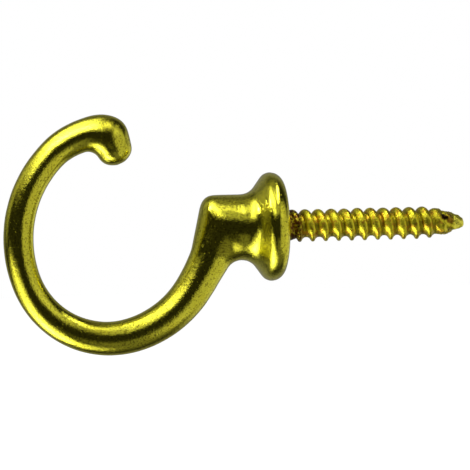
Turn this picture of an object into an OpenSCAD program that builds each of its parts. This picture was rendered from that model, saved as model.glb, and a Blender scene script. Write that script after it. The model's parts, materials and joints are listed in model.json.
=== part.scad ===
// Tie-back curtain hook: one brass casting with a bell-shaped collar and its own wood screw.
// The origin is the centre of the collar's flat seat. +X runs along the screw, into the wall, and +Z is up.

/* [Screw] */
// Length of the screw from the seat to its blunt end
screw_l = 24.3; // [18:0.1:40]
// Diameter of the plain shank beside the seat
shank_d = 4.24; // [4.2:0.02:5]
// Length of the plain shank
shank_l = 1.3; // [0.8:0.1:6]
// Diameter over the thread
thread_d = 4.17; // [3.8:0.01:4.2]
// Diameter at the bottom of the thread
root_d = 3.05; // [2.6:0.05:3.4]
// Distance from one turn of the thread to the next
pitch = 1.74; // [1.6:0.01:2.4]
// Length of the tapered point
point_l = 2.7; // [1.5:0.1:5]
// Diameter of the blunt end
point_d = 1.7; // [0.8:0.1:2.2]

/* [Collar] */
// Diameter of the collar over its rim
collar_d = 14.2; // [12:0.1:18]
// Radius of the rim's back edge
rim_r = 1.7; // [0.8:0.05:2]
// Radius of the rim's front
bead_r = 1.2; // [0.8:0.1:2]
// Slope of the flare between the rim and the neck
flare_a = 52; // [40:0.5:62]
// Radius of the cove at the foot of the flare
cove_r = 2.4; // [1.2:0.1:3]
// Diameter of the neck
neck_d = 8.6; // [7:0.1:9.6]

/* [Elbow] */
// Radius of the crotch under the neck
crotch_r = 2.25; // [1.5:0.05:3.5]
// Thickness of the elbow, from the crotch to its front
elbow_t = 5; // [4.7:0.05:6]
// Radius of the elbow's upper corner
corner_r = 1.2; // [0.8:0.1:2.4]
// Slope of the elbow's front
front_a = 13; // [8:0.5:20]
// Slope of the arm where it leaves the elbow
arm_a = 60.5; // [52:0.5:70]

/* [Arm] */
// Length of the straight leg below the elbow
leg_l = 3.25; // [1.5:0.05:6]
// Radius of the arm's drop below the leg
drop_r = 14.1; // [10:0.1:20]
// Turn of the drop
drop_a = 46; // [35:0.5:55]
// Radius of the bowl that the tie-back lies in
bowl_r = 11.4; // [8:0.1:16]
// Turn of the bowl
bowl_a = 83.5; // [70:0.5:95]
// Radius of the arm's back
back_r = 15.6; // [10:0.1:20]
// Turn of the back
back_a = 66.5; // [55:0.5:80]
// Radius of the crown over the bowl
crown_r = 9.4; // [7:0.1:14]
// Turn of the crown
crown_a = 25; // [15:0.5:35]
// Diameter of the arm at the foot of the leg
leg_d = 4.95; // [4:0.05:5.2]
// Diameter of the arm where the bowl begins
bowl_d = 4.55; // [3.8:0.05:5]
// Diameter of the arm at its back
back_d = 3.9; // [3:0.05:4.6]

/* [Lip] */
// Radius inside the bend that turns the lip down
lip_r = 1.6; // [0.8:0.05:3]
// Turn of the lip
lip_a = 85; // [65:1:100]
// Diameter of the arm where the lip begins
lip_d = 4.25; // [3.8:0.05:4.8]
// Diameter of the knob in the lip
knob_d = 5.6; // [4.8:0.1:6.4]
// Thickness of the knob from side to side
knob_t = 5.2; // [4.4:0.1:6.4]
// Diameter of the lip's round nose
nose_d = 4.6; // [3.4:0.1:5]
// Length of the nose past the bend
nose_l = 1.8; // [1:0.1:3]

/* [Hidden] */
brass = [0.74, 0.65, 0.16];
$fn = 96;
// Points round one section of the arm, and the turn between two sections
section_n = 28;
section_step = 4.5;
// Sections along the elbow, the leg, the lip and the nose
elbow_n = 13;
leg_n = 4;
lip_n = 12;
nose_n = 5;
// Points on a quarter of a rounded edge
edge_n = 8;
// How far the arm is let into the neck, and the small step at the joint
joint_l = 0.6;
joint_step = 0.03;
// Where the knob swells along the lip, and how far round the screw's end is round
knob_at = 0.7;
end_a = 75;
// Lengths over which the shank runs out into the thread, and the thread fades at the point
runout_l = 0.8;
fade_l = 3.2;
// How far the thread is let into the shank, and the bare end past it
thread_in = 0.2;
bare_l = 1.6;
// Half widths of the thread at its crest, flank and foot, and the heights of the flank and the foot
crest_w = 0.07;
flank_w = 0.3;
foot_w = 0.75;
flank_h = 0.17;
foot_h = -0.15;
// Heights of the crest and the flank where the thread has faded to a low step
faded_crest_h = 0.09;
faded_flank_h = 0.05;
// Sections in one turn of the thread, and how many its start is turned back round the shank
thread_n = 20;
thread_back = 4;

neck_r = neck_d / 2;
collar_r = collar_d / 2;
flare_rise = collar_r - bead_r - neck_r - cove_r;
collar_l = rim_r + (bead_r + cove_r + flare_rise * cos(flare_a)) / sin(flare_a);
root_r = root_d / 2;
point_r = point_d / 2;
taper_x = screw_l - point_l;
taper_l = point_l - point_r * (1 - cos(end_a));
fan_end = 90 + arm_a;
pivot = [-collar_l, -(neck_r + crotch_r)];

function mix(a, b, f) = a + (b - a) * f;
function ease(f) = f * f * (3 - 2 * f);
function on_circle(c, r, a) = c + r * [cos(a), sin(a)];
function arc(c, r, from, to, n) = [for (i = [0:n]) on_circle(c, r, mix(from, to, i / n))];

// Outline of the turned half: the collar's bell, its seat, and the screw's core
bell = concat(
    [[-collar_l, 0]],
    arc([-collar_l, neck_r + cove_r], cove_r, -90, flare_a - 90, edge_n),
    arc([-rim_r, collar_r - bead_r], bead_r, flare_a + 90, 90, edge_n),
    [for (i = [1:edge_n]) on_circle([-rim_r, collar_r - rim_r], rim_r, 90 * (1 - i / edge_n))]);
stem = concat(
    [[0, shank_d / 2], [shank_l, shank_d / 2], [shank_l + runout_l, root_r], [taper_x, root_r]],
    arc([screw_l - point_r, 0], point_r, end_a, 0, edge_n));

module turned() {
    rotate([90, 0, 90])
        rotate_extrude()
            polygon([for (p = concat(bell, stem)) [p.y, p.x]]);
}

// A section of the arm is [x, z, direction across it, half width across, half width along Y]
function ring(s) = [for (i = [0:section_n - 1])
    let (t = 360 * i / section_n, u = s[3] * cos(t))
    [s[0] + u * cos(s[2]), s[4] * sin(t), s[1] + u * sin(s[2])]];

// The elbow's sections fan out round the crotch, up to its level top and its sloping front
front_n = 180 - front_a;
front_d = crotch_r + elbow_t;
top_d = crotch_r + 2 * neck_r - joint_step;
corner_y = top_d - corner_r;
corner_c = [(front_d - corner_r - corner_y * sin(front_n)) / cos(front_n), corner_y];
corner_top = atan2(top_d, corner_c.x);
corner_end = on_circle(corner_c, corner_r, front_n);
corner_front = atan2(corner_end.y, corner_end.x);
function corner_out(a) = let (u = [cos(a), sin(a)], along = corner_c * u, off = cross(corner_c, u))
    along + sqrt(corner_r * corner_r - off * off);
function elbow_out(a) = a < corner_top ? top_d / sin(a)
    : a > corner_front ? front_d / cos(a - front_n) : corner_out(a);
root_w = (elbow_out(fan_end) - crotch_r) / 2;
function elbow_at(f) = let (
        a = mix(90, fan_end, f),
        out = elbow_out(a),
        c = on_circle(pivot, (out + crotch_r) / 2, a))
    [c.x, c.y, a, (out - crotch_r) / 2, mix(neck_r - joint_step, root_w, ease(f))];

// The arm's centre line is a straight leg and a chain of arcs, each [radius, turn, half width at its end]
leg_start = concat(on_circle(pivot, crotch_r + root_w, fan_end), [fan_end + 90]);
function go(p, l) = [p.x + l * cos(p.z), p.y + l * sin(p.z), p.z];
function bend(p, r, a) = let (h = p.z - a)
    [p.x + r * (sin(p.z) - sin(h)), p.y - r * (cos(p.z) - cos(h)), h];
function cut(p, w) = [p.x, p.y, p.z - 90, w, w];
arcs = [
    [drop_r, drop_a, bowl_d / 2],
    [bowl_r, bowl_a, back_d / 2],
    [back_r, back_a, back_d / 2],
    [crown_r, crown_a, lip_d / 2]];
function start_of(k) = k == 0 ? go(leg_start, leg_l)
    : bend(start_of(k - 1), arcs[k - 1][0], arcs[k - 1][1]);
function width_before(k) = k == 0 ? leg_d / 2 : arcs[k - 1][2];
function along_arc(k) = let (p = start_of(k), n = ceil(arcs[k][1] / section_step))
    [for (i = [1:n]) let (f = i / n)
        cut(bend(p, arcs[k][0], arcs[k][1] * f), mix(width_before(k), arcs[k][2], f))];

// The lip swells into a knob and closes in a round nose
lip_start = start_of(len(arcs));
lip_c = [lip_start.x, lip_start.y] + (lip_r + lip_d / 2) * [sin(lip_start.z), -cos(lip_start.z)];
function swell(f, knob) = f < knob_at ? mix(lip_d, knob, ease(f / knob_at)) / 2
    : mix(knob, nose_d, ease((f - knob_at) / (1 - knob_at))) / 2;
function lip_at(f) = let (
        a = lip_start.z + 90 - lip_a * f,
        w = swell(f, knob_d),
        c = on_circle(lip_c, lip_r + w, a))
    [c.x, c.y, a - 180, w, swell(f, knob_t)];
nose_h = lip_start.z - lip_a;
nose = concat(on_circle(lip_c, lip_r + nose_d / 2, nose_h + 90), [nose_h]);
nose_tip = go(nose, nose_l);

sections = concat(
    [[-collar_l + joint_l, 0, 90, neck_r - joint_step, neck_r - joint_step]],
    [for (i = [1:elbow_n]) elbow_at(i / elbow_n)],
    [for (i = [1:leg_n]) let (f = i / leg_n)
        cut(go(leg_start, leg_l * f), mix(root_w, leg_d / 2, sin(90 * f)))],
    [for (k = [0:len(arcs) - 1]) each along_arc(k)],
    [for (i = [1:lip_n]) lip_at(i / lip_n)],
    [for (i = [1:nose_n - 1]) let (a = 90 * i / nose_n)
        cut(go(nose, nose_l * sin(a)), nose_d / 2 * cos(a))]);

module arm() {
    n = section_n;
    last = len(sections) - 1;
    points = concat([for (s = sections) each ring(s)], [[nose_tip.x, 0, nose_tip.y]]);
    side = [for (r = [0:last - 1], i = [0:n - 1])
        let (a = r * n + i, b = r * n + (i + 1) % n) each [[a, a + n, b], [b, a + n, b + n]]];
    cap = [for (i = [0:n - 1]) [last * n + (i + 1) % n, last * n + i, len(points) - 1]];
    polyhedron(points, concat([[for (i = [0:n - 1]) i]], side, cap), convexity = 6);
}

// The thread is a ridge wound on the core, let into the shank at one end and fading out at the point
thread_start = shank_l - thread_in;
thread_end = screw_l - bare_l;
thread_steps = floor((thread_end - thread_start) / pitch * thread_n);
function core_r(x) = mix(root_r, point_r * sin(end_a), max(0, (x - taper_x) / taper_l));
function thread_f(x) = min(1, max(0, (thread_end - x) / fade_l));
function thread_section(i) = let (
        x = thread_start + pitch * i / thread_n,
        a = 360 * (i - thread_back) / thread_n,
        f = thread_f(x),
        crest_h = mix(faded_crest_h, thread_d / 2 - root_r, f),
        side_h = mix(faded_flank_h, flank_h, f),
        outline = [[-foot_w, foot_h], [-flank_w, side_h], [-crest_w, crest_h],
            [crest_w, crest_h], [flank_w, side_h], [foot_w, foot_h]])
    [for (p = outline) let (r = core_r(x + p.x) + p.y) [x + p.x, -r * sin(a), r * cos(a)]];

module thread() {
    n = len(thread_section(0));
    points = [for (i = [0:thread_steps]) each thread_section(i)];
    side = [for (r = [0:thread_steps - 1], i = [0:n - 1])
        let (a = r * n + i, b = r * n + (i + 1) % n) each [[a, b, a + n], [b, b + n, a + n]]];
    first = [for (i = [n - 1:-1:0]) i];
    last = [for (i = [0:n - 1]) thread_steps * n + i];
    polyhedron(points, concat([first, last], side), convexity = 20);
}

module hook() {
    color(brass)
        union() {
            turned();
            arm();
            thread();
        }
}

hook();
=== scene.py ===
import json
from math import atan2, cos, pi, radians, sin, sqrt

import bpy
from mathutils import Matrix, Vector, noise


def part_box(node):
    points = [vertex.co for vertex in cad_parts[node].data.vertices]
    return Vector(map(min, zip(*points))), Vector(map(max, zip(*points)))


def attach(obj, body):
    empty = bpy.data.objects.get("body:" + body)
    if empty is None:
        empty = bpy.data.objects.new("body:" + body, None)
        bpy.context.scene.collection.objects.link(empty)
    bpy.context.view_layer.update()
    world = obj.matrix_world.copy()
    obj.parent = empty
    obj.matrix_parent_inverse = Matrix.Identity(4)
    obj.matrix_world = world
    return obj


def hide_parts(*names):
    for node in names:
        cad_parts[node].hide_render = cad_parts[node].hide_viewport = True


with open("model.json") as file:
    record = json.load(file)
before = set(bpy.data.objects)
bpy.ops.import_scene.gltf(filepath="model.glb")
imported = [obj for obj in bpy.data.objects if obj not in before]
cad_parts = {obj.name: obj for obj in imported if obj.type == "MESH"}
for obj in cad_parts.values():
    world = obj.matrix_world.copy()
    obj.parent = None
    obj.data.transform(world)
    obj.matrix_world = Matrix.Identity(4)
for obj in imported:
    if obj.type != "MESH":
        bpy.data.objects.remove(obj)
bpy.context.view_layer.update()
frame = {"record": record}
bpy.ops.object.select_all(action="DESELECT")

# Arm: the round C that carries the tie-back, cast in one piece with the collar and the screw, then polished.
# It leaves the neck in a tight elbow, runs down a short leg, round the bowl and up the back, and turns down
# over the mouth in a blunt knob. It is drawn out by rings: [x, z, tilt, half width, half depth].
sides = 16
swell = 1 / (2 / 3 + cos(2 * pi / sides) / 3)
neck_r = 0.0043
rim_r, bead_r, cove_r = 0.0016, 0.0014, 0.0024
flare_slope = radians(54)
collar_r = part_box("hook")[1].y
flare_rise = collar_r - bead_r - neck_r - cove_r
neck_x = -rim_r - (bead_r + cove_r + flare_rise * cos(flare_slope)) / sin(flare_slope)

crotch_r = 0.00225
elbow_t = 0.005
corner_r = 0.0012
front_slope = radians(13)
arm_slope = radians(60.5)
elbow_rings = 11
elbow_end = pi / 2 + arm_slope
pivot = Vector((neck_x, -(neck_r + crotch_r)))
front_side = pi - front_slope
front_reach = crotch_r + elbow_t
top_reach = crotch_r + 2 * neck_r
corner_z = top_reach - corner_r
corner = Vector(((front_reach - corner_r - corner_z * sin(front_side)) / cos(front_side), corner_z))
corner_low = corner + corner_r * Vector((cos(front_side), sin(front_side)))


def elbow_reach(angle):
    """Distance from the elbow's pivot to its outside: a level top, a round corner and a sloping front."""
    if angle < atan2(top_reach, corner.x):
        return top_reach / sin(angle)
    if angle > atan2(corner_low.y, corner_low.x):
        return front_reach / cos(angle - front_side)
    aim = Vector((cos(angle), sin(angle)))
    off = corner.cross(aim)
    return corner.dot(aim) + sqrt(corner_r ** 2 - off ** 2)


def ease(share):
    """A share that starts and ends gently."""
    return share * share * (3 - 2 * share)


def mix(first, last, share):
    """The value at a share of the way from the first to the last."""
    return first + (last - first) * share


def elbow_ring(share):
    """A ring of the elbow, which fans out round the crotch and narrows to the leg."""
    angle = mix(pi / 2, elbow_end, share)
    reach = elbow_reach(angle)
    middle = pivot + (reach + crotch_r) / 2 * Vector((cos(angle), sin(angle)))
    return [middle.x, middle.y, angle, (reach - crotch_r) / 2, mix(neck_r, leg_top_r, ease(share))]


leg_top_r = (elbow_reach(elbow_end) - crotch_r) / 2
leg_l = 0.00325
leg_r = 0.002475
leg_rings = 3


def ahead(place, run):
    """The place, as [x, z, heading], a straight run further on."""
    x, z, heading = place
    return [x + run * cos(heading), z + run * sin(heading), heading]


def bent(place, radius, turn):
    """The place after a right-hand bend."""
    x, z, heading = place
    after = heading - turn
    return [x + radius * (sin(heading) - sin(after)), z - radius * (cos(heading) - cos(after)), after]


def ring(place, half):
    """A round ring across the arm at a place."""
    x, z, heading = place
    return [x, z, heading - pi / 2, half, half]


rings = [elbow_ring(i / elbow_rings) for i in range(1, elbow_rings + 1)]
place = [*(pivot + (crotch_r + leg_top_r) * Vector((cos(elbow_end), sin(elbow_end)))), elbow_end + pi / 2]
for i in range(1, leg_rings + 1):
    share = i / leg_rings
    rings.append(ring(ahead(place, leg_l * share), mix(leg_top_r, leg_r, sin(share * pi / 2))))
place = ahead(place, leg_l)

# The drop, the bowl, the back and the crown: radius, turn, half width at the far end, and rings
arcs = [
    (0.0141, radians(46), 0.002275, 6),
    (0.0114, radians(83.5), 0.00195, 9),
    (0.0156, radians(66.5), 0.00195, 8),
    (0.0094, radians(25), 0.002125, 3),
]
half = leg_r
for radius, turn, end_half, count in arcs:
    for i in range(1, count + 1):
        rings.append(ring(bent(place, radius, turn * i / count), mix(half, end_half, i / count)))
    place = bent(place, radius, turn)
    half = end_half

lip_r = 0.0016
lip_turn = radians(85)
knob_at = 0.7
knob_half, knob_depth, nose_half = 0.0028, 0.0026, 0.0023
nose_l = 0.0018
lip_rings, nose_rings = 9, 3
nose_open = 0.6
lip_heading = place[2]
lip_centre = Vector(place[:2]) + (lip_r + half) * Vector((sin(lip_heading), -cos(lip_heading)))


def knob(share, widest):
    """Half width of the lip, which swells into a knob and narrows to the nose."""
    if share < knob_at:
        return mix(half, widest, ease(share / knob_at))
    return mix(widest, nose_half, ease((share - knob_at) / (1 - knob_at)))


for i in range(1, lip_rings + 1):
    share = i / lip_rings
    angle = lip_heading + pi / 2 - lip_turn * share
    wide = knob(share, knob_half)
    middle = lip_centre + (lip_r + wide) * Vector((cos(angle), sin(angle)))
    rings.append([middle.x, middle.y, angle - pi, wide, knob(share, knob_depth)])
place = [rings[-1][0], rings[-1][1], lip_heading - lip_turn]
for i in range(1, nose_rings + 1):
    angle = pi / 2 * i / (nose_rings + nose_open)
    rings.append(ring(ahead(place, nose_l * sin(angle)), nose_half * cos(angle)))

least_turn = 1e-9


def draw_out(rings, last):
    """Extrude the selected loop from ring to ring."""
    for new in rings:
        step = (new[0] - last[0], 0, new[1] - last[1])
        centre = (new[0], 0, new[1])
        bpy.ops.mesh.extrude_region_move(TRANSFORM_OT_translate={"value": step})
        if abs(new[2] - last[2]) > least_turn:
            bpy.ops.transform.rotate(value=new[2] - last[2], orient_axis="Y", center_override=centre)
        grow, deepen = new[3] / last[3], new[4] / last[4]
        bpy.ops.transform.resize(value=(grow, deepen, grow), center_override=centre)
        last = new
    return last


bpy.ops.mesh.primitive_circle_add(vertices=sides, radius=neck_r * swell, location=(neck_x, 0, 0),
                                  rotation=(0, pi / 2, 0))
bpy.ops.object.transform_apply(location=True, rotation=True, scale=True)
hook = bpy.context.object
hook.name = hook.data.name = "brass_hook"
bpy.ops.object.mode_set(mode="EDIT")
neck_ring = [neck_x, 0, pi / 2, neck_r, neck_r]
draw_out(rings, neck_ring)
bpy.ops.mesh.fill_grid(span=sides // 4)

# Collar: the bell between the arm and the wall, of the same casting and turned true to the screw.
# A cove opens into a short flare and a beaded rim, and the flat seat behind it bears on the wall.
lowest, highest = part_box("hook")
screw_l = highest.x
cove_rings, bead_rings, rim_rings = 6, 5, 6
seat_edge, seat_hub = 0.0004, 0.0003


def arc(centre, radius, first, last, count):
    """Points of a turned profile, as (x, radius), along an arc."""
    angles = [mix(first, last, i / count) for i in range(count + 1)]
    return [(centre[0] + radius * cos(a), centre[1] + radius * sin(a)) for a in angles]


def turned(profile):
    """Upright rings round the screw's axis, one for each point of a profile."""
    return [[x, 0, pi / 2, r, r] for x, r in profile]


bell = arc((neck_x, neck_r + cove_r), cove_r, -pi / 2, flare_slope - pi / 2, cove_rings)
bell += arc((-rim_r, collar_r - bead_r), bead_r, flare_slope + pi / 2, pi / 2, bead_rings)
bell += arc((-rim_r, collar_r - rim_r), rim_r, pi / 2, 0, rim_rings)[1:]
bell.append((0, collar_r - rim_r - seat_edge))
bpy.ops.mesh.select_all(action="DESELECT")
bpy.ops.mesh.select_non_manifold()
last_ring = draw_out(turned(bell), neck_ring)

# Screw: the core of the wood screw, cast with the collar and left as cast, with a blunt rounded end.
# A tapering shank beside the seat runs out into the core, which tapers again over its last few millimetres.
shank = next(mount for mount in frame["record"]["mounts"] if mount["name"] == "shank")["dims"]
shank_r, shank_l = shank["r_mm"] / 1000, shank["length_mm"] / 1000
root_r, shank_end_r = 0.001525, 0.0018
shank_foot = 1.02
runout_l, point_l, point_r = 0.0008, 0.0027, 0.00085
end_slope, end_open = radians(75), radians(20)
taper_x = screw_l - point_l
end_x, end_r = screw_l - point_r + point_r * cos(end_slope), point_r * sin(end_slope)
core_rings, taper_rings, end_rings = 8, 5, 4
tapering = [i / taper_rings for i in range(1, taper_rings)]
core = [(0, shank_r + seat_hub), (0, shank_r * shank_foot), (seat_hub, shank_r), (shank_l, shank_end_r)]
core += [(shank_l + runout_l * share, mix(shank_end_r, root_r, ease(share))) for share in (0.5, 1)]
core += [(mix(shank_l + runout_l, taper_x, i / core_rings), root_r) for i in range(1, core_rings + 1)]
core += [(mix(taper_x, end_x, share), mix(root_r, end_r, share)) for share in tapering]
core += arc((screw_l - point_r, 0), point_r, end_slope, end_open, end_rings)
draw_out(turned(core), last_ring)
bpy.ops.mesh.fill_grid(span=sides // 4)
bpy.ops.mesh.select_all(action="SELECT")
bpy.ops.mesh.normals_make_consistent(inside=False)
bpy.ops.object.mode_set(mode="OBJECT")


def apply_modifier(piece, kind, **settings):
    """Add a modifier to a piece and apply it."""
    bpy.context.view_layer.objects.active = piece
    bpy.ops.object.modifier_add(type=kind)
    modifier = piece.modifiers[-1]
    for name, value in settings.items():
        setattr(modifier, name, value)
    bpy.ops.object.modifier_apply(modifier=modifier.name)


def clouds(name, size, depth):
    """A cloudy relief for the surface, with lumps of a given size."""
    texture = bpy.data.textures.new(name, "CLOUDS")
    texture.noise_scale = size
    texture.noise_depth = depth
    return texture


apply_modifier(hook, "SUBSURF", levels=2, render_levels=2)

# The casting is a little uneven after hand polishing, which makes the reflections waver.
ripple_w, ripple_h = 0.0022, 0.00003
apply_modifier(hook, "DISPLACE", texture=clouds("polish_ripple", ripple_w, 1), texture_coords="LOCAL",
               strength=ripple_h, mid_level=0.5)

# Thread: a right-hand wood thread, cast on the core, so its turns are blunt and uneven.
# They are round over the top, steep towards the point at the sides and narrow underneath, and die away at
# the point. The thread is wound as a helix and joined to the core.
pitch = 0.00174
thread_r = 0.00212
thread_in, bare_l, fade_l = 0.0004, 0.0022, 0.0031
thread_start, thread_end = shank_l - thread_in, screw_l - bare_l
thread_steps = 24
thread_lead = radians(-72)
# Each turn's outline from its foot towards the seat to its foot towards the point, over the top, at the
# sides and underneath, as shares of the pitch and of the thread's depth
foot_reach = 0.475
top_turn = [(-foot_reach, -0.35), (-0.42, -0.05), (-0.34, 0.42), (-0.23, 0.84), (-0.08, 1.05),
            (0.08, 1.05), (0.23, 0.84), (0.34, 0.42), (0.42, -0.05), (foot_reach, -0.35)]
side_turn = [(-foot_reach, -0.35), (-0.43, 0.12), (-0.35, 0.52), (-0.2, 0.85), (-0.02, 1),
             (0.14, 1.05), (0.26, 0.97), (0.33, 0.6), (0.38, 0.05), (foot_reach, -0.35)]
low_turn = [(-foot_reach, -0.4), (-0.45, 0.02), (-0.33, 0.12), (-0.22, 0.36), (-0.14, 1.02),
            (0.11, 1.03), (0.16, 0.5), (0.25, 0.2), (0.4, 0.02), (foot_reach, -0.4)]
# How far the low outline is shifted towards the point, and how soon a turn takes its top and its low outline
low_shift = 0.07
top_gain = 1.3
low_from, low_gain = 0.25, 1.6
# How uneven the turns are where they are whole and where they die away, and how fast that changes along the
# screw and round it
rag_whole, rag_worn = 0.09, 0.32
rag_along, rag_round = 1100, 2.5
# How the height of the turns dies away at the point
fade_power, fade_dip = 0.7, 0.25
seam_merge = 0.000004
many_sided = 5
thread_depth = thread_r - root_r
thread_turns = round((thread_end - thread_start) / pitch)
thread_swell = 1 / (2 / 3 + cos(2 * pi / thread_steps) / 3)
outlines = list(zip(top_turn, side_turn, low_turn))
corners = len(outlines)


def limited(value, low, high):
    """A value kept between two limits."""
    return min(high, max(low, value))


bpy.ops.object.select_all(action="DESELECT")
bpy.ops.mesh.primitive_circle_add(vertices=corners, radius=pitch / 2, location=(thread_start, 0, root_r),
                                  rotation=(pi / 2, 0, 0))
bpy.ops.object.transform_apply(location=True, rotation=True, scale=True)
thread = bpy.context.object
thread.name = thread.data.name = "thread"
apply_modifier(thread, "SCREW", axis="X", angle=2 * pi, screw_offset=pitch, iterations=thread_turns,
               steps=thread_steps, render_steps=thread_steps)
for index, vertex in enumerate(thread.data.vertices):
    step, at = divmod(index, corners)
    on_top, on_side, below = [Vector(point) for point in outlines[at]]
    turn = 2 * pi * step / thread_steps + thread_lead
    x = thread_start + pitch * step / thread_steps
    left = limited((thread_end - x) / fade_l, 0, 1)
    uneven = noise.noise((x * rag_along, rag_round * cos(turn), rag_round * sin(turn)))
    ragged = mix(rag_worn, rag_whole, left) * uneven
    raised = ease(limited(top_gain * cos(turn), 0, 1))
    sunk = ease(limited((-cos(turn) - low_from) * low_gain, 0, 1))
    along, high = on_side.lerp(on_top, raised).lerp(below, sunk)
    along = limited(along * (1 + ragged / 2), -foot_reach, foot_reach) + low_shift * sunk
    tall = thread_depth * (left ** fade_power - fade_dip * (1 - left))
    core_r = mix(root_r, point_r, max(0, (x - taper_x) / point_l))
    radius = core_r + high * (tall if high > 0 else thread_depth) + ragged * tall * max(0, high)
    radius *= thread_swell
    vertex.co = (x + pitch * along, -radius * sin(turn), radius * cos(turn))
bpy.ops.object.mode_set(mode="EDIT")
for end_loop in (range(corners), range(-corners, 0)):
    bpy.ops.mesh.select_all(action="DESELECT")
    bpy.ops.object.mode_set(mode="OBJECT")
    for index in end_loop:
        thread.data.vertices[index].select = True
    bpy.ops.object.mode_set(mode="EDIT")
    bpy.ops.mesh.edge_face_add()
bpy.ops.mesh.select_all(action="SELECT")
bpy.ops.mesh.normals_make_consistent(inside=False)
bpy.ops.object.mode_set(mode="OBJECT")
apply_modifier(thread, "SUBSURF", levels=1, render_levels=1)
apply_modifier(hook, "BOOLEAN", operation="UNION", object=thread, solver="MANIFOLD")
bpy.data.objects.remove(thread)
bpy.ops.object.mode_set(mode="EDIT")
bpy.ops.mesh.select_all(action="SELECT")
bpy.ops.mesh.remove_doubles(threshold=seam_merge)
bpy.ops.object.mode_set(mode="OBJECT")
apply_modifier(hook, "TRIANGULATE", min_vertices=many_sided)

# The point is torn and lumpy, where the metal ran cold in the mould, and calmer at its very end.
torn_from, torn_l, calm_from, calm_share = 0.0198, 0.002, 0.0228, 0.7
lump_w, lump_h = 0.0009, 0.0008
torn = hook.vertex_groups.new(name="torn_point")
for vertex in hook.data.vertices:
    x = vertex.co.x
    if x > torn_from:
        calm = calm_share * max(0, (x - calm_from) / (screw_l - calm_from))
        torn.add([vertex.index], ease(min(1, (x - torn_from) / torn_l)) * (1 - calm), "REPLACE")
apply_modifier(hook, "DISPLACE", texture=clouds("torn_lumps", lump_w, 2), texture_coords="LOCAL",
               vertex_group="torn_point", strength=lump_h, mid_level=0.5)

# Brass: the whole casting is one slightly greenish brass, polished on the arm and the collar, with fine
# specks, pits and an orange-peel skin, and left duller on the screw, where it is spotted with brown,
# darkened to dark brown beside the seat, pitted and scorched near the point and worn bright at the very end.
brass = bpy.data.materials.new("polished_brass")
brass.use_nodes = True
brass_tree = brass.node_tree
shader = brass_tree.nodes["Principled BSDF"]
shader.inputs["Metallic"].default_value = 1


def plug(value, socket):
    """Link a socket to another node's result, or set it to a plain value."""
    if isinstance(value, bpy.types.NodeSocket):
        socket.id_data.links.new(value, socket)
    else:
        socket.default_value = value


def node(tree, kind, **inputs):
    """A new node, with its inputs set or linked by name."""
    made = tree.nodes.new(kind)
    for name, value in inputs.items():
        plug(value, made.inputs[name.replace("_", " ")])
    return made


def span(value, low, high, to_low=0.0, to_high=1.0):
    """A value carried smoothly from one span to another."""
    made = node(value.id_data, "ShaderNodeMapRange", Value=value, From_Min=low, From_Max=high,
                To_Min=to_low, To_Max=to_high)
    made.interpolation_type = "SMOOTHSTEP"
    return made.outputs["Result"]


def combined(first, second, operation="MULTIPLY"):
    """Two values put together, by multiplying them if nothing else is said."""
    made = first.id_data.nodes.new("ShaderNodeMath")
    made.operation = operation
    plug(first, made.inputs[0])
    plug(second, made.inputs[1])
    return made.outputs["Value"]


def measured(place, operation, other=(0, 0, 0)):
    """The number that a vector operation makes of a place, such as its distance from another."""
    made = node(place.id_data, "ShaderNodeVectorMath", Vector=place)
    made.operation = operation
    made.inputs[1].default_value = other
    return made.outputs["Value"]


def blend(share, first, second):
    """The first colour, with a share of the second laid over it."""
    made = share.id_data.nodes.new("ShaderNodeMix")
    made.data_type = "RGBA"
    plug(share, made.inputs[0])
    colours = [socket for socket in made.inputs if socket.type == "RGBA"]
    for socket, value in zip(colours, (first, second)):
        plug(value if isinstance(value, bpy.types.NodeSocket) else (*value, 1), socket)
    return next(socket for socket in made.outputs if socket.type == "RGBA")


def mottle(scale, detail, roughness):
    """A cloudy pattern through the metal, finer with a larger scale."""
    return node(brass_tree, "ShaderNodeTexNoise", Vector=place_on, Scale=scale, Detail=detail,
                Roughness=roughness).outputs["Fac"]


def relief(strength, height, pattern, under=None):
    """A fine relief of the skin, laid over another one."""
    made = node(brass_tree, "ShaderNodeBump", Strength=strength, Distance=height, Height=pattern)
    if under:
        plug(under.outputs["Normal"], made.inputs["Normal"])
    return made


place_on = node(brass_tree, "ShaderNodeTexCoord").outputs["Object"]
axes = node(brass_tree, "ShaderNodeSeparateXYZ", Vector=place_on).outputs
along_screw = axes["X"]
from_axis = combined(combined(axes["Y"], axes["Y"]), combined(axes["Z"], axes["Z"]), "ADD")
# Patterns through the metal, from broad to fine: scale, detail and roughness
cloud = mottle(420.0, 4.0, 0.6)
wave = mottle(700.0, 1.0, 0.5)
spots = mottle(1500.0, 2.0, 0.6)
speck = mottle(2600.0, 2.0, 0.7)
peel = mottle(2700.0, 2.0, 0.55)
pepper = mottle(4600.0, 2.0, 0.6)
grain = mottle(6500.0, 3.0, 0.6)

# Where the finishes lie: from where to where along the screw, from its axis, and in the patterns
screw_edge, seat_darkening_edge = (-0.0002, 0.0004), (0.0019, 0.0027)
groove_edge, worn_edge = (0.0195, 0.0215), (0.0224, 0.023)
groove_floor, groove_lip = 0.0017, 0.00195
tone_edge, pepper_edge, rust_edge, pit_edge = (0.35, 0.7), (0.53, 0.6), (0.52, 0.6), (0.66, 0.74)
thin_edge, thin_share = (0.45, 0.62), 0.35
scorch_at, scorch_edge, scorch_ragged = (0.0222, -0.0012, 0.0003), (0.0006, 0.0011), 0.0006
flaw_at, flaw_edge, flaw_ragged = (0.0213, -0.0013, 0.0007), (0.0007, 0.001), 0.0007


def patch(middle, edge, uneven):
    """A round patch with a ragged edge."""
    away = combined(measured(place_on, "DISTANCE", middle), combined(speck, uneven), "ADD")
    return span(away, *edge, 1.0, 0.0)


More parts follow.
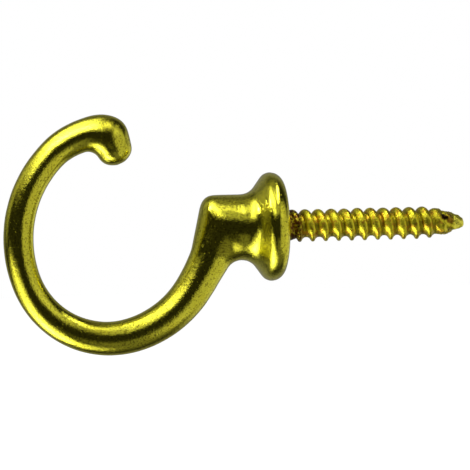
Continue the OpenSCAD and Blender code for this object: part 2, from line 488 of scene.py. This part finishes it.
on_screw = span(along_screw, *screw_edge)
low_down = span(from_axis, groove_floor ** 2, groove_lip ** 2, 1.0, 0.0)
in_groove = combined(combined(on_screw, low_down), span(along_screw, *groove_edge, 1.0, 0.0))
pits = span(speck, *pit_edge)
# Dark brown beside the seat, fading out along the screw and thinned in patches by the specks
by_seat = combined(on_screw, span(along_screw, *seat_darkening_edge, 1.0, 0.0))
seat_darkening = combined(by_seat, span(speck, *thin_edge, 1.0, thin_share))

# The finishes, each laid over the one before: where it lies, how strong it is, and its colour
pale_brass, deep_brass = (0.79, 0.75, 0.055), (0.77, 0.71, 0.045)
finishes = [
    (span(pepper, *pepper_edge), 0.8, (0.36, 0.32, 0.02)),
    (on_screw, 0.8, (0.78, 0.69, 0.03)),
    (in_groove, 0.6, (0.3, 0.24, 0.01)),
    (combined(on_screw, span(spots, *rust_edge)), 0.7, (0.55, 0.27, 0.02)),
    (pits, 0.75, (0.10, 0.07, 0.01)),
    (span(along_screw, *worn_edge), 1.0, (0.97, 0.89, 0.09)),
    (patch(scorch_at, scorch_edge, scorch_ragged), 0.85, (0.26, 0.1, 0.01)),
    (patch(flaw_at, flaw_edge, flaw_ragged), 1.0, (0.03, 0.015, 0.004)),
    (seat_darkening, 1.0, (0.13, 0.05, 0.008)),
]
tone = blend(span(cloud, *tone_edge), pale_brass, deep_brass)
for lies, strength, colour in finishes:
    tone = blend(combined(lies, strength), tone, colour)
plug(tone, shader.inputs["Base Color"])

# How rough the polish and the screw are, from least to most, and in which part of the patterns
grain_edge, polish_range = (0.3, 0.7), (0.06, 0.14)
cloud_edge, screw_range = (0.35, 0.65), (0.3, 0.44)
polish_rough = span(grain, *grain_edge, *polish_range)
screw_rough = span(cloud, *cloud_edge, *screw_range)
rough = node(brass_tree, "ShaderNodeMix", Factor=on_screw, A=polish_rough, B=screw_rough).outputs["Result"]
plug(rough, shader.inputs["Roughness"])

# The reliefs of the skin, each laid over the one before: how strong it is, how high, and its pattern
waved = relief(0.12, 0.0002, wave)
skin = relief(0.15, 0.0001, peel, waved)
sanded = relief(0.36, 0.00005, grain, skin)
cast = relief(combined(on_screw, 0.6), 0.0001, speck, sanded)
holed = relief(0.3, 0.00006, pits, cast)
holed.invert = True
plug(holed.outputs["Normal"], shader.inputs["Normal"])

smooth_angle = radians(40)
hook.data.materials.clear()
hook.data.materials.append(brass)
bpy.context.view_layer.objects.active = hook
hook.select_set(True)
bpy.ops.object.shade_smooth_by_angle(angle=smooth_angle)
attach(hook, "root")
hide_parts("hook")
bpy.ops.object.select_all(action="DESELECT")

# Camera: a long lens nearly square to the hook's plane, a little to the arm's side, level with the screw.
view_turn, view_roll = radians(-9.5), radians(1.47)
view_distance = 0.4
frame_w = 0.0613
sensor_w = 36
aim = Vector((-0.006, 0, 0))
aim_px = Vector((237.47, 227.35))
image_px = 470
level = Vector((cos(view_turn), sin(view_turn), 0))
back = Vector((sin(view_turn), -cos(view_turn), 0))
upright = Vector((0, 0, 1))
across = level * cos(view_roll) - upright * sin(view_roll)
above = level * sin(view_roll) + upright * cos(view_roll)
px = frame_w / image_px
centre = aim + across * (image_px / 2 - aim_px.x) * px - above * (image_px / 2 - aim_px.y) * px
to_world = Matrix((across, above, back)).transposed()
bpy.ops.object.camera_add()
camera = bpy.context.object
camera.data.sensor_width = sensor_w
camera.data.lens = sensor_w * view_distance / frame_w
camera.matrix_world = Matrix.Translation(centre + back * view_distance) @ to_world.to_4x4()
bpy.context.scene.camera = camera

# Floor: a plain pale sheet below the hook, out of the photograph's frame, that whitens with distance.
floor_w, floor_drop = 4, 0.03
whiten_from, whiten_to = 0.08, 0.18
near_glow, far_glow = 0.7, 1.0
bpy.ops.mesh.primitive_plane_add(size=floor_w, location=(0, 0, lowest.z - floor_drop))
floor_sheet = bpy.context.object
floor_sheet.name = "floor_sheet"
pale = bpy.data.materials.new("pale_floor")
pale.use_nodes = True
pale_shader = pale.node_tree.nodes["Principled BSDF"]
pale_shader.inputs["Base Color"].default_value = (0.9, 0.9, 0.9, 1)
pale_shader.inputs["Roughness"].default_value = 0.9
pale_shader.inputs["Emission Color"].default_value = (1, 1, 1, 1)
far = measured(node(pale.node_tree, "ShaderNodeTexCoord").outputs["Object"], "LENGTH")
plug(span(far, whiten_from, whiten_to, near_glow, far_glow), pale_shader.inputs["Emission Strength"])
floor_sheet.data.materials.append(pale)
floor_sheet.visible_glossy = False
floor_sheet.visible_shadow = False

# Light: soft cards and lamps a few centimetres above and in front of the hook, whose reflections are its
# bright bands, and larger dim panels further off, in a dark room whose far wall is pale.
panel_middle, panel_edge = (0.5, 0.5, 0), 0.5


def panel(name, stand, width, depth, radiance, soft, behind=None, lamp=False, fan=pi):
    """A panel that faces the hook, or away from what is behind it.

    It stands so far right, up and toward the camera from the hook, and fades over the soft share of its
    reach. A lamp is round and a plain panel is square. Its light fans out no wider than the given angle.
    """
    stand = Vector(stand)
    outward = Vector(behind or stand).normalized()
    crosswise = (Vector((1, 0, 0)) - outward * outward.x).normalized()
    turn = Matrix((crosswise, outward.cross(crosswise), outward)).transposed()
    bpy.ops.object.light_add(type="AREA")
    light = bpy.context.object
    light.name = light.data.name = name
    light.data.shape = "ELLIPSE" if lamp else "RECTANGLE"
    light.data.size, light.data.size_y = width, depth
    light.data.spread = fan
    light.data.energy = radiance * pi * width * depth * (pi / 4 if lamp else 1)
    light.matrix_world = Matrix.Translation(aim + to_world @ stand) @ (to_world @ turn).to_4x4()
    light.visible_camera = False
    light.data.use_nodes = True
    tree = light.data.node_tree
    spot = node(tree, "ShaderNodeNewGeometry").outputs["Parametric"]
    if lamp:
        reach = measured(spot, "DISTANCE", panel_middle)
    else:
        off = node(tree, "ShaderNodeVectorMath", Vector=spot)
        off.operation = "SUBTRACT"
        off.inputs[1].default_value = panel_middle
        size = node(tree, "ShaderNodeVectorMath", Vector=off.outputs["Vector"])
        size.operation = "ABSOLUTE"
        parts = node(tree, "ShaderNodeSeparateXYZ", Vector=size.outputs["Vector"]).outputs
        reach = combined(parts["X"], parts["Y"], "MAXIMUM")
    fade = span(reach, panel_edge * (1 - soft), panel_edge, 1.0, 0.0)
    plug(fade, tree.nodes["Emission"].inputs["Strength"])


overhead, underfoot, in_front, from_cove = (0, 1, 0), (0, -1, 0), (0, 0, 1), (-0.88, 0.46, 0.07)
panel("overhead_panel", (-0.0425, 0.045, 0.049), 0.058, 0.114, 1.2, 0.25, overhead)
panel("overhead_lamp", (-0.036, 0.045, 0.04), 0.05, 0.11, 12.0, 0.9, overhead, lamp=True)
panel("neck_lamp", (-0.009, 0.045, 0.026), 0.034, 0.036, 0.9, 0.5, overhead, lamp=True)
panel("screw_lamp", (0.0155, 0.045, 0.022), 0.013, 0.066, 4.5, 0.8, overhead, lamp=True, fan=pi / 2)
panel("cove_lamp", (-0.025, 0.018, 0.0068), 0.008, 0.008, 5.0, 0.8, from_cove, lamp=True, fan=pi / 3)
panel("overhead_right", (0.15, 0.6, 0.66), 0.3, 1.42, 0.5, 0.2, overhead)
panel("overhead_wing", (-0.6, 0.6, 0.5), 1.8, 1.9, 0.45, 0.6, overhead)
panel("low_left_card", (-0.074, -0.0415, 0.028), 0.082, 0.067, 1.2, 0.25, in_front)
panel("card_lamp", (-0.055, -0.042, 0.028), 0.06, 0.056, 16.0, 0.95, in_front, lamp=True)
panel("low_left_panel", (-0.42, -0.45, 0.1), 1.0, 1.0, 0.8, 0.4, lamp=True)
panel("low_left_lamp", (-0.36, -0.5, 0.08), 0.6, 0.55, 6.5, 0.95, lamp=True)
panel("low_panel", (-0.12, -0.57, 0.13), 0.46, 0.46, 0.9, 0.4, lamp=True)
panel("low_front_glow", (0.2, -0.34, 0.3), 0.6, 0.9, 0.15, 0.5, underfoot)
panel("right_panel", (0.54, -0.02, 0.255), 0.98, 1.4, 0.48, 0.25, lamp=True)
panel("right_upper_panel", (0.355, 0.322, 0.361), 0.5, 0.5, 0.3, 0.5, lamp=True)
panel("right_wall", (0.66, -0.2, -0.36), 1.0, 1.2, 0.5, 0.5, lamp=True)
panel("left_wall", (-0.74, 0.3, -0.2), 1.0, 0.7, 0.3, 0.6, lamp=True)

wall_from, wall_to = 0.35, 0.85
room_dark, wall_pale = 0.02, 0.25
world = bpy.data.worlds.new("studio")
bpy.context.scene.world = world
world.use_nodes = True
room_tree = world.node_tree
room = room_tree.nodes["Background"]
facing = measured(node(room_tree, "ShaderNodeTexCoord").outputs["Generated"], "DOT_PRODUCT", -back)
plug(span(facing, wall_from, wall_to, room_dark, wall_pale), room.inputs["Strength"])
room.inputs["Color"].default_value = (1, 1, 1, 1)
white = node(room_tree, "ShaderNodeBackground", Color=(1, 1, 1, 1))
seen = node(room_tree, "ShaderNodeLightPath").outputs["Is Camera Ray"]
choose = node(room_tree, "ShaderNodeMixShader", Fac=seen)
plug(room.outputs["Background"], choose.inputs[1])
plug(white.outputs["Background"], choose.inputs[2])
plug(choose.outputs["Shader"], room_tree.nodes["World Output"].inputs["Surface"])
bpy.context.scene.view_settings.view_transform = "Standard"
